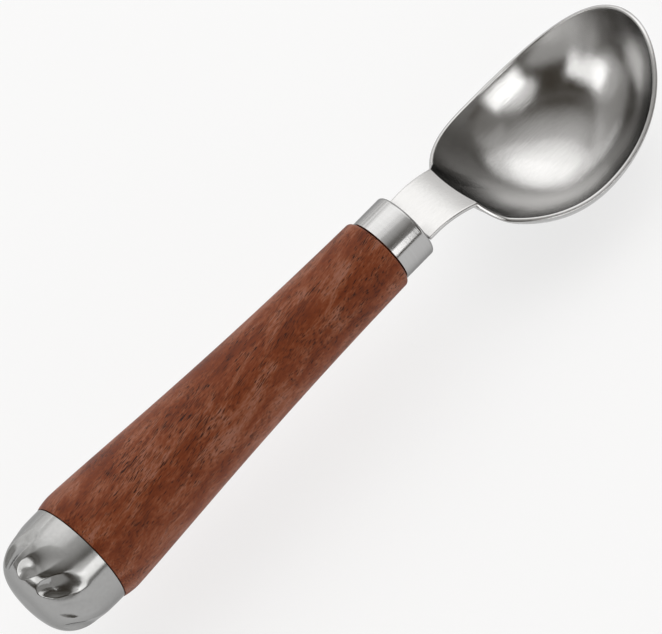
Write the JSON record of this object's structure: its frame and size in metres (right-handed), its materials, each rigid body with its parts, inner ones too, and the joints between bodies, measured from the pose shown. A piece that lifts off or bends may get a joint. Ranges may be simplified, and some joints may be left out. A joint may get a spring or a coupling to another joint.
{
  "type": "ice cream scoop",
  "caption": "Ice cream scoop: a stamped steel bowl with a saddle rim on a tapered wooden handle, with a ferrule and a spiral-fluted end cap.",
  "frame": {"origin": "middle of the flat butt of the end cap, on the handle's axis", "axes": "+X along the handle's axis from the butt to the bowl, +Z the way the bowl opens, +Y across"},
  "size_m": [0.2105, 0.049, 0.046],
  "materials": {
    "satin_steel": "satin, polished inside the bowl",
    "bright_steel": "drawn, finely brushed round the axis",
    "oiled_hardwood": "reddish brown, open pores, oiled satin",
    "plain_steel": "plain turned rod",
    "cast_steel": "cast and tumbled to a soft satin"
  },
  "bodies": {
    "root": {"bowl": "satin_steel", "ferrule": "bright_steel", "handle": "oiled_hardwood", "tie_rod": "plain_steel", "end_cap": "cast_steel"}
  },
  "joints": []
}
